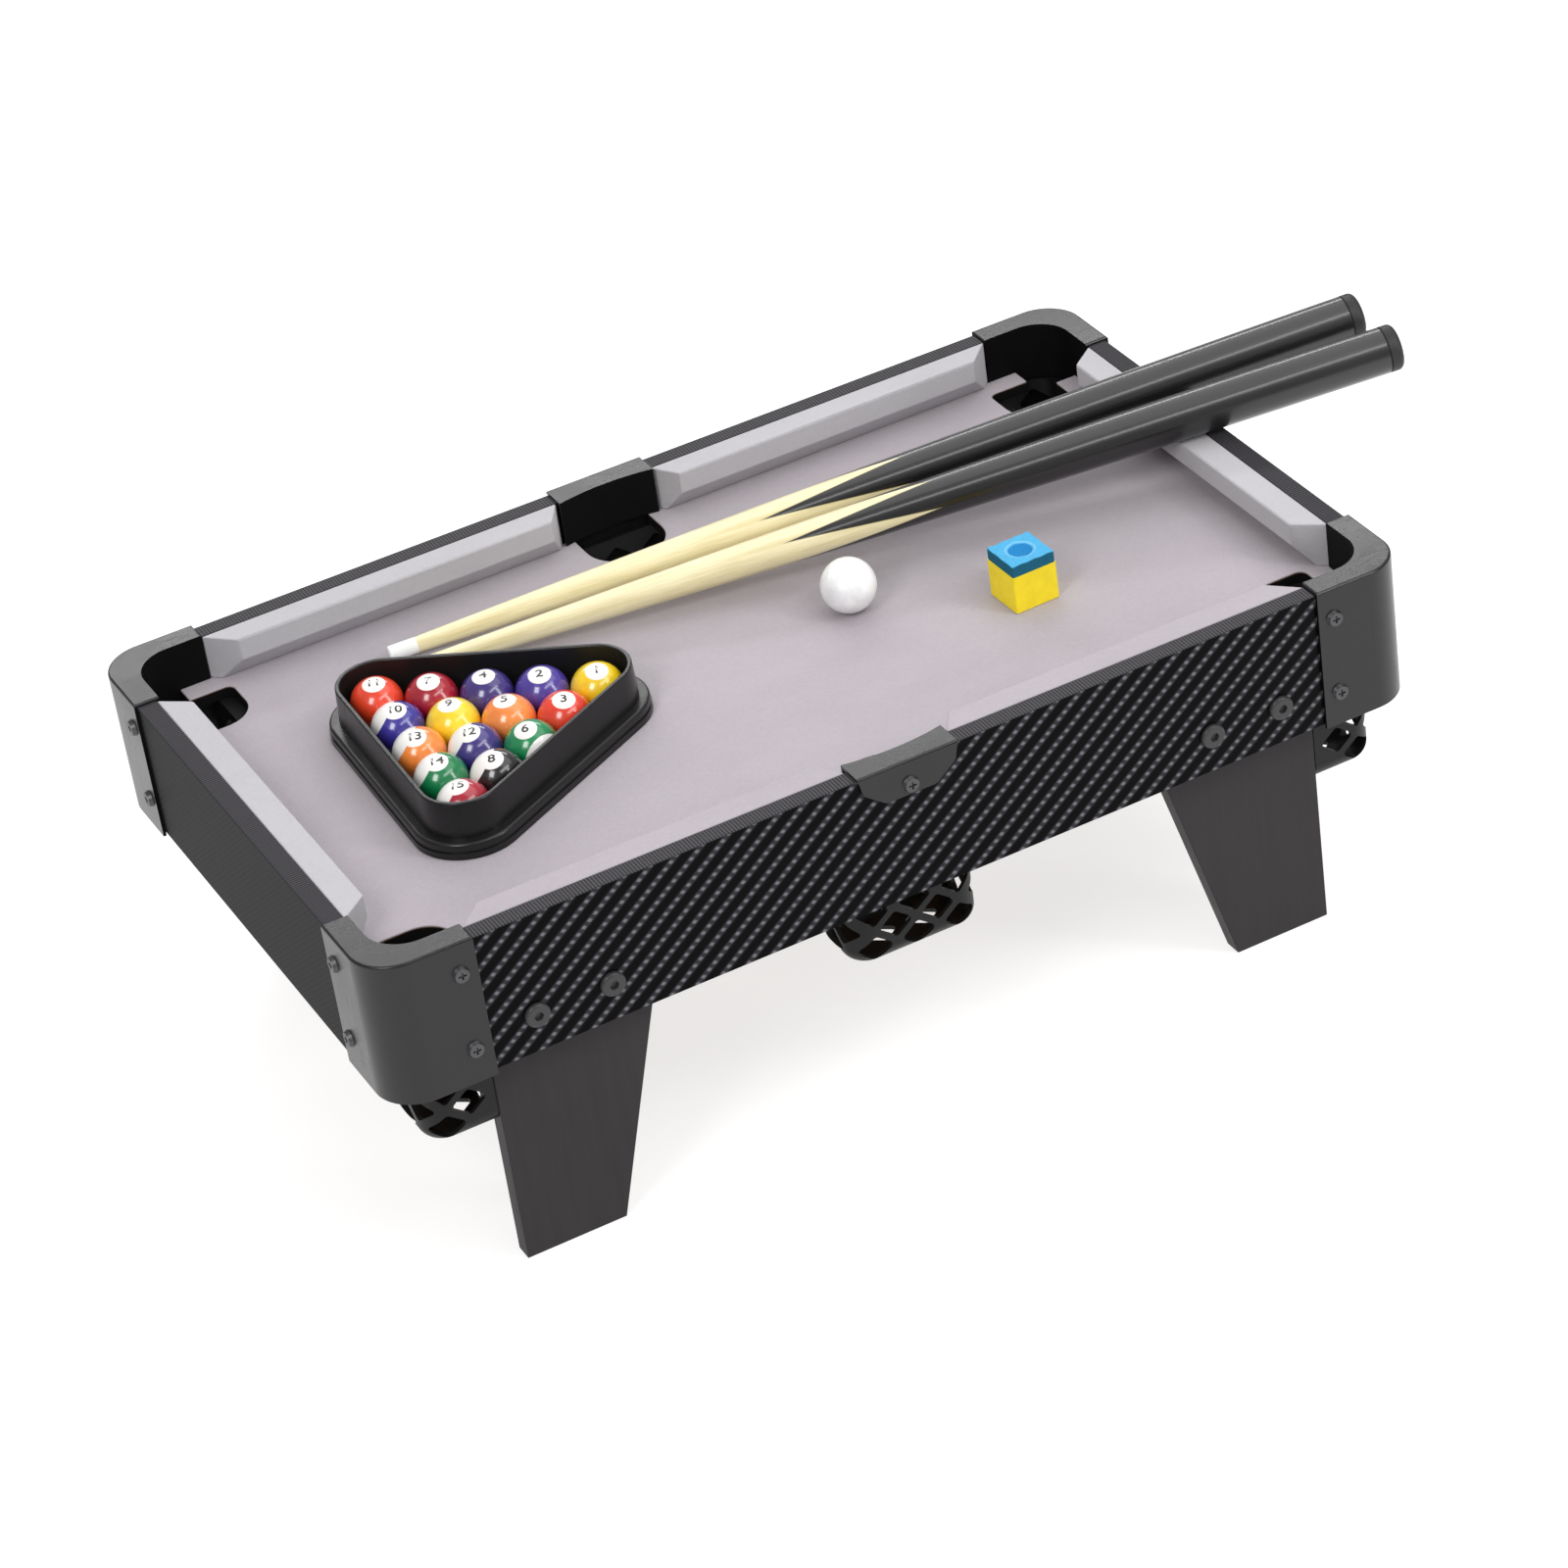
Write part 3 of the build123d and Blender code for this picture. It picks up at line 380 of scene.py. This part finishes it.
black_plastic = srgb(26, 26, 26)
charcoal = srgb(24, 24, 25)
looks = {
    "bed_board": bare_board(),
    "rail_wrap": wrap("rail_wrap", 0, (3.08 * MM, 2.4 * MM), srgb(110, 109, 114),
                      (srgb(3, 3, 4), srgb(50, 49, 53)), 0.34, 1.5 * MM),
    "end_wrap": wrap("end_wrap", 1, (0.9 * MM, 0.7 * MM), srgb(28, 28, 30),
                     (srgb(14, 14, 15), srgb(20, 20, 22)), 0.5, 1.5 * MM),
    # The caps' inside colour is painted shade on their faces inside the pockets.
    "cap_plastic": plastic("cap_plastic", charcoal, gloss=0.26, grain=1100, depth=0.02, specular=0.42,
                           inside=srgb(13, 13, 14)),
    "basket_plastic": plastic("basket_plastic", srgb(18, 18, 19), gloss=0.42, specular=0.25),
    "leg_foil": leg_foil(),
    "bolt_black": plastic("bolt_black", srgb(52, 52, 53), gloss=0.36, grain=1500, depth=0.01),
    "nut_steel": metal("nut_steel", srgb(190, 190, 188), 0.35),
    "screw_black": metal("screw_black", srgb(88, 88, 90), 0.4),
    "screw_steel": metal("screw_steel", srgb(196, 196, 194), 0.32),
    "cleat_wood": softwood(),
    "rack_plastic": plastic("rack_plastic", black_plastic, gloss=0.3, grain=1000, depth=0.012),
    "cue_white": plastic("cue_white", srgb(236, 236, 234), gloss=0.4, grain=1500, depth=0.008),
    "cue_rubber": plastic("cue_rubber", srgb(40, 40, 40), gloss=0.5, grain=1300, depth=0.02),
    "chalk_paper": paper(),
    "chalk": pressed_chalk(),
    "felt": felt("bed_felt_cloth", srgb(170, 163, 169)),
    # A lighter copy of the felt, painted light for the back and end cushions.
    "cushion_felt": felt("lit_cushion_cloth", srgb(180, 178, 182), 0.8),
}


# ---- Pieces


def paint(obj, material):
    """The whole piece in one material."""
    if not obj.material_slots:
        obj.data.materials.append(material)
    for holder in obj.material_slots:
        holder.material = material


def place_piece(obj, node):
    """Stands a new piece in for a CAD node and lets it ride on that node's body."""
    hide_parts(node)
    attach(obj, body_of_node[node])
    return obj


def new_piece(name, bm, material, smooth=True):
    mesh = bpy.data.meshes.new(name)
    bm.to_mesh(mesh)
    bm.free()
    if smooth:
        mesh.polygons.foreach_set("use_smooth", [True] * len(mesh.polygons))
    obj = bpy.data.objects.new(name, mesh)
    bpy.context.scene.collection.objects.link(obj)
    paint(obj, material)
    return obj


def round_edges(obj, width, angle=30, segments=3):
    bevel = obj.modifiers.new("round_edges", "BEVEL")
    bevel.width = width
    bevel.segments = segments
    bevel.limit_method = "ANGLE"
    bevel.angle_limit = radians(angle)
    bevel.harden_normals = True


def cad_copy(node):
    """A node's mesh as one clean bmesh: seams between its faces welded, flat faces whole."""
    bm = bmesh.new()
    bm.from_mesh(nodes[node].data)
    bmesh.ops.remove_doubles(bm, verts=bm.verts, dist=0.002 * MM)
    bmesh.ops.dissolve_limit(bm, angle_limit=radians(0.5), verts=bm.verts, edges=bm.edges)
    return bm


def finish_cad_nodes():
    """Every CAD node that stays takes its slot's material."""
    for node, obj in nodes.items():
        look = looks.get(slot_of_node[node])
        if look:
            paint(obj, look)


def make_bed_felt():
    """The cloth on the bed, its cut edges rolled a little into the pockets."""
    bm = cad_copy("bed_felt")
    cut = sum(face.calc_area() for face in bm.faces if face.normal.z > 0.9)
    cloth = new_piece("bed_cloth", bm, looks["felt"], smooth=False)
    round_edges(cloth, 0.45 * MM, 40)
    place_piece(cloth, "bed_felt")


def make_cushions():
    """Felt-wrapped cushion strips: rounded noses and softly rounded folds at the cut ends."""
    names = [f"cushion_{place}" for place in corners] + [f"cushion_end_{end}" for end in ends]
    for node in names:
        bm = cad_copy(node)
        # Painted light: the back and end cushions take a lighter copy of the felt, the front ones the
        # bed's felt.
        look = looks["felt"] if "front" in node else looks["cushion_felt"]
        strip = new_piece(node + "_cloth", bm, look, smooth=False)
        round_edges(strip, 0.7 * MM, 25)
        place_piece(strip, node)


# Colours of the fifteen balls, 1 to 15
ball_colours = {
    1: srgb(238, 202, 30), 2: srgb(72, 56, 148), 3: srgb(226, 62, 38),
    4: srgb(62, 48, 118), 5: srgb(240, 138, 66), 6: srgb(22, 132, 78),
    7: srgb(160, 26, 44), 8: srgb(30, 30, 31), 9: srgb(240, 206, 40),
    10: srgb(58, 50, 146), 11: srgb(224, 68, 40), 12: srgb(60, 46, 120),
    13: srgb(240, 136, 60), 14: srgb(16, 120, 70), 15: srgb(168, 30, 50),
}
right_hand = Vector((0.9185, -0.3955, 0))  # to the right, seen from the front left of the table
to_viewer = Vector((-0.3955, -0.9185, 0))
# Where the white cap of a ball points, as shares of right_hand, to_viewer and up
upper_left = (-0.75, -0.2, 0.55)
cap_turn = {number: upper_left for number in (8, 10, 12, 13, 14, 15)}
cap_turn[6] = (0.6, 0.8, -0.1)
paired_caps = (15,)


def ball_turn(number):
    """Rotation of a ball: columns are its cap axis, the third axis, and its number axis."""
    lean = Vector((random.uniform(-0.12, 0.12), random.uniform(-0.12, 0.12), 0))
    towards = Vector((0, 0, 1)) + 0.2 * to_viewer - 0.08 * right_hand + lean
    towards.normalize()
    share = cap_turn.get(number, (1.0, 0.0, 0.0))
    caps = (right_hand * share[0] + to_viewer * share[1] + Vector((0, 0, share[2]))).normalized()
    third = towards.cross(caps).normalized()
    return Matrix((third.cross(towards), third, towards)).transposed(), caps


def add_number(number, centre, radius, turn):
    """The printed number, laid on the ball's surface so that it reads from the front left."""
    curve = bpy.data.curves.new(f"ball_{number:02d}_digits", "FONT")
    curve.body = str(number)
    curve.align_x = "CENTER"
    curve.align_y = "CENTER"
    curve.size = 0.5 * radius
    curve.offset = 0.13 * MM
    flat = bpy.data.objects.new("flat_digits", curve)
    bpy.context.scene.collection.objects.link(flat)
    bpy.context.view_layer.update()
    mesh = bpy.data.meshes.new_from_object(flat.evaluated_get(bpy.context.evaluated_depsgraph_get()))
    bpy.data.objects.remove(flat)
    bm = bmesh.new()
    bm.from_mesh(mesh)
    bmesh.ops.triangulate(bm, faces=bm.faces)
    bmesh.ops.subdivide_edges(bm, edges=bm.edges, cuts=4)
    number_axis = turn.col[2]
    across = (right_hand - number_axis * right_hand.dot(number_axis)).normalized()
    upward = number_axis.cross(across)
    print_height = radius + 0.06 * MM
    for vertex in bm.verts:
        x, y = vertex.co.x * 1.15, vertex.co.y
        direction = (number_axis * radius + across * x + upward * y).normalized()
        vertex.co = centre + direction * print_height
    bpy.data.meshes.remove(mesh)
    digits = new_piece(f"ball_{number:02d}_number", bm, looks["ink"])
    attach(digits, f"ball_{number:02d}")


def make_ball(node, material, turn):
    low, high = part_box(node)
    centre = (low + high) / 2
    radius = (high.z - low.z) / 2
    bm = bmesh.new()
    bmesh.ops.create_icosphere(bm, subdivisions=5, radius=radius)
    ball = new_piece(node + "_polished", bm, material)
    ball.matrix_world = Matrix.Translation(centre) @ turn.to_4x4()
    place_piece(ball, node)
    return centre, radius


def make_balls():
    looks["ink"] = ink()
    radius = (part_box("ball_01")[1].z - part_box("ball_01")[0].z) / 2
    for number, colour in ball_colours.items():
        turn, cap = ball_turn(number)
        local_cap = tuple(turn.transposed() @ cap) if number in cap_turn else None
        material = resin(f"ball_{number:02d}_resin", colour, radius, local_cap, number in paired_caps)
        centre, radius = make_ball(f"ball_{number:02d}", material, turn)
        add_number(number, centre, radius, turn)
    low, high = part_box("cue_ball")
    cue_radius = (high.z - low.z) / 2
    white = resin("cue_ball_resin", srgb(243, 243, 243), cue_radius)
    make_ball("cue_ball", white, Matrix.Identity(3))


# ---- Cues

cue_length = 482 * MM
ferrule_end = 13.5 * MM
bumper_start = 475 * MM
tip_radius = 3.75 * MM
butt_radius = 11 * MM
middle = (240 * MM, 9.3 * MM)  # a place on the shaft's outline and its radius there
splice = (182 * MM, 255 * MM)


def arc_through(a, b, c):
    """Radius of a shallow outline at s, an arc through three (s, radius) points."""
    def slope(p, q):
        return (q[1] - p[1]) / (q[0] - p[0])
    bend = (slope(b, c) - slope(a, b)) / (c[0] - a[0])
    return lambda s: a[1] + slope(a, b) * (s - a[0]) + bend * (s - a[0]) * (s - b[0])


def lathe(name, outline, material, steps=72):
    """A turned piece from (s, radius) points along local X."""
    bm = bmesh.new()
    rings = []
    for s, radius in outline:
        if radius < 1e-6:
            rings.append([bm.verts.new((s, 0, 0))])
            continue
        turn = [2 * pi * i / steps for i in range(steps)]
        rings.append([bm.verts.new((s, radius * cos(a), radius * sin(a))) for a in turn])
    for one, two in zip(rings, rings[1:]):
        for i in range(steps):
            j = (i + 1) % steps
            corners_of_face = [one[i % len(one)], two[i % len(two)], two[j % len(two)], one[j % len(one)]]
            face = list(dict.fromkeys(corners_of_face))
            bm.faces.new(face)
    bmesh.ops.recalc_face_normals(bm, faces=bm.faces)
    return new_piece(name, bm, material)


def corner_arc(s, radius, size, start, steps=5):
    """Points of a quarter round inside the corner (s, radius); start is its first angle in degrees."""
    centre_s = s + (size if start == 180 else -size)
    turns = [radians(start - 90 * i / steps) for i in range(steps + 1)]
    return [(centre_s + size * cos(a), radius - size + size * sin(a)) for a in turns]


def cue_frame(number):
    """Placement of a cue: local X from tip to butt, local Z up."""
    tip_low, tip_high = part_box(f"cue_{number}_tip")
    end_low, end_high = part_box(f"cue_{number}_bumper")
    # The middles of both end pieces lie on the axis
    along = ((end_low + end_high) / 2 - (tip_low + tip_high) / 2)
    along.normalize()
    reach = ferrule_end / 2
    start = (tip_low + tip_high) / 2 - along * reach
    upward = (Vector((0, 0, 1)) - along * along.z).normalized()
    turn = Matrix((along, upward.cross(along), upward)).transposed()
    return Matrix.Translation(start) @ turn.to_4x4()


def make_cue(number):
    radius_at = arc_through((ferrule_end, tip_radius), middle, (bumper_start, butt_radius))
    count = 90
    stations = [ferrule_end + (bumper_start - ferrule_end) * i / count for i in range(count + 1)]
    body = [(ferrule_end, 0)] + [(s, radius_at(s)) for s in stations] + [(bumper_start, 0)]
    shaft = lathe(f"cue_{number}_wood", body, looks["cue_lacquer"])
    tip = lathe(f"cue_{number}_ferrule",
                [(0, 0)] + corner_arc(0, tip_radius, 0.9 * MM, 180)
                + [(ferrule_end, tip_radius), (ferrule_end, 0)],
                looks["cue_white"])
    groove = bumper_start + 0.5 * MM
    plug = lathe(f"cue_{number}_plug",
                 [(bumper_start, 0), (bumper_start, butt_radius - 0.5 * MM)]
                 + [(groove, butt_radius - 0.5 * MM)]
                 + [(groove + 0.3 * MM, butt_radius)] + corner_arc(cue_length, butt_radius, 2.6 * MM, 90)
                 + [(cue_length, butt_radius - 5 * MM), (cue_length - 0.7 * MM, butt_radius - 5.6 * MM)]
                 + [(cue_length - 0.7 * MM, 0)],
                 looks["cue_rubber"])
    for piece, node in ((shaft, "shaft"), (tip, "tip"), (plug, "bumper")):
        piece.matrix_world = cue_frame(number)
        edges = piece.modifiers.new("keep_edges", "EDGE_SPLIT")
        edges.split_angle = radians(40)
        place_piece(piece, f"cue_{number}_{node}")


# ---- Chalk


def make_chalk():
    """A worn cube: soft edges and a round hollow in its top."""
    low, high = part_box("chalk_wrap")
    block_low, block_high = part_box("chalk_block")
    centre = (block_low + block_high) / 2
    side, height = 22 * MM, block_high.z - block_low.z
    hollow_radius, hollow_depth = 6.5 * MM, 2.0 * MM
    bm = bmesh.new()
    bmesh.ops.create_cube(bm, size=1)
    bmesh.ops.subdivide_edges(bm, edges=bm.edges, cuts=27, use_grid_fill=True)
    for vertex in bm.verts:
        x, y, z = vertex.co.x * side, vertex.co.y * side, vertex.co.z * height
        if vertex.co.z > 0.499:
            away = sqrt(x * x + y * y) / hollow_radius
            z -= hollow_depth * max(0.0, 1 - away * away) if away < 1 else 0
            z -= 0.35 * MM * (0.5 + 0.5 * sin(x * 900 + 1) * sin(y * 700))
        vertex.co = (x, y, z)
    block = new_piece("chalk_cube", bm, looks["chalk"], smooth=False)
    round_edges(block, 0.7 * MM, 50)
    turn = Matrix.Rotation(radians(1.5), 4, "Z")
    block.matrix_world = Matrix.Translation(centre) @ turn
    place_piece(block, "chalk_block")

    half_out, half_in = side / 2 + 0.4 * MM, side / 2 + 0.02 * MM
    levels = 12
    wrap_height = high.z - low.z
    bm = bmesh.new()

    def outline(half, z):
        """One ring of the band, its corners rounded by the paper's fold."""
        points = []
        for quarter in range(4):
            for step in range(5):
                a = radians(90 * quarter + 90 * step / 4)
                fold = 0.9 * MM
                x = (half - fold) * (1 if cos(radians(90 * quarter + 45)) > 0 else -1) + fold * cos(a)
                y = (half - fold) * (1 if sin(radians(90 * quarter + 45)) > 0 else -1) + fold * sin(a)
                points.append(bm.verts.new((x, y, z)))
        return points

    rings = [outline(half_out, wrap_height * i / levels) for i in range(levels + 1)]
    rings += [outline(half_in, wrap_height * i / levels) for i in range(levels, -1, -1)]
    rings.append(rings[0])
    for one, two in zip(rings, rings[1:]):
        for i in range(len(one)):
            j = (i + 1) % len(one)
            bm.faces.new((one[i], one[j], two[j], two[i]))
    bmesh.ops.recalc_face_normals(bm, faces=bm.faces)
    band = new_piece("chalk_band", bm, looks["chalk_paper"], smooth=True)
    keep = band.modifiers.new("keep_edges", "EDGE_SPLIT")
    keep.split_angle = radians(50)
    band.matrix_world = Matrix.Translation((centre.x, centre.y, low.z)) @ turn
    place_piece(band, "chalk_wrap")


# ---- Camera, floor and light


def make_camera():
    """Seen from the front left and above, a little rolled, through a long lens."""
    camera = bpy.data.objects.new("camera", bpy.data.cameras.new("camera"))
    camera.data.lens = 118.1
    camera.data.sensor_width = 36
    camera.data.clip_end = 50
    looking = Vector((0.32905, 0.76423, -0.55469))
    roll = Matrix.Rotation(radians(-8.55), 4, "Z")
    camera.matrix_world = (
        Matrix.Translation((table_x - 0.7668, -1.7986, rail_top + 1.2091))
        @ looking.to_track_quat("-Z", "Y").to_matrix().to_4x4()
        @ roll
    )
    bpy.context.scene.collection.objects.link(camera)
    bpy.context.scene.camera = camera


def add_light(name, place, target, size, power, colour=(1, 1, 1)):
    lamp = bpy.data.lights.new(name, "AREA")
    lamp.shape = "RECTANGLE"
    lamp.size, lamp.size_y = size
    lamp.energy = power
    lamp.color = colour
    light = bpy.data.objects.new(name, lamp)
    aim = Vector(target) - Vector(place)
    light.matrix_world = Matrix.Translation(place) @ aim.to_track_quat("-Z", "Y").to_matrix().to_4x4()
    bpy.context.scene.collection.objects.link(light)


def make_studio():
    bm = bmesh.new()
    bmesh.ops.create_grid(bm, x_segments=1, y_segments=1, size=6)
    tree = Tree("studio_floor", Roughness=0.8, Specular_IOR_Level=0.05,
                Emission_Color=(1, 1, 1, 1), Emission_Strength=0.72)
    paper = tree.dim(srgb(178, 178, 178), tree.spread(tree.noise(3, 2), 0, 1, 0.98, 1.0))
    floor = new_piece("studio_floor", bm, tree.finish(paper))
    world = bpy.data.worlds.new("studio")
    world.use_nodes = True
    world.node_tree.nodes["Background"].inputs["Color"].default_value = (1, 1, 1, 1)
    world.node_tree.nodes["Background"].inputs["Strength"].default_value = 0.4
    bpy.context.scene.world = world
    target = (table_x, 0, 0.15)
    add_light("overhead", (table_x + 0.4, 0.3, 1.5), target, (2.2, 1.5), 13)
    add_light("front_left", (-1.1, -0.75, 1.25), target, (0.5, 0.7), 11)
    add_light("front_right", (1.0, -1.3, 1.0), target, (0.3, 1.1), 9)
    add_light("front_strip", (0.35, -0.85, 1.3), target, (1.3, 0.2), 5)
    add_light("back_strip", (0.35, 1.25, 0.95), target, (1.6, 0.16), 7)
    bpy.context.scene.view_settings.view_transform = "Standard"


looks["cue_lacquer"] = cue_lacquer(*splice)
make_camera()
make_studio()
finish_cad_nodes()
make_bed_felt()
make_cushions()
make_balls()
make_cue(1)
make_cue(2)
make_chalk()
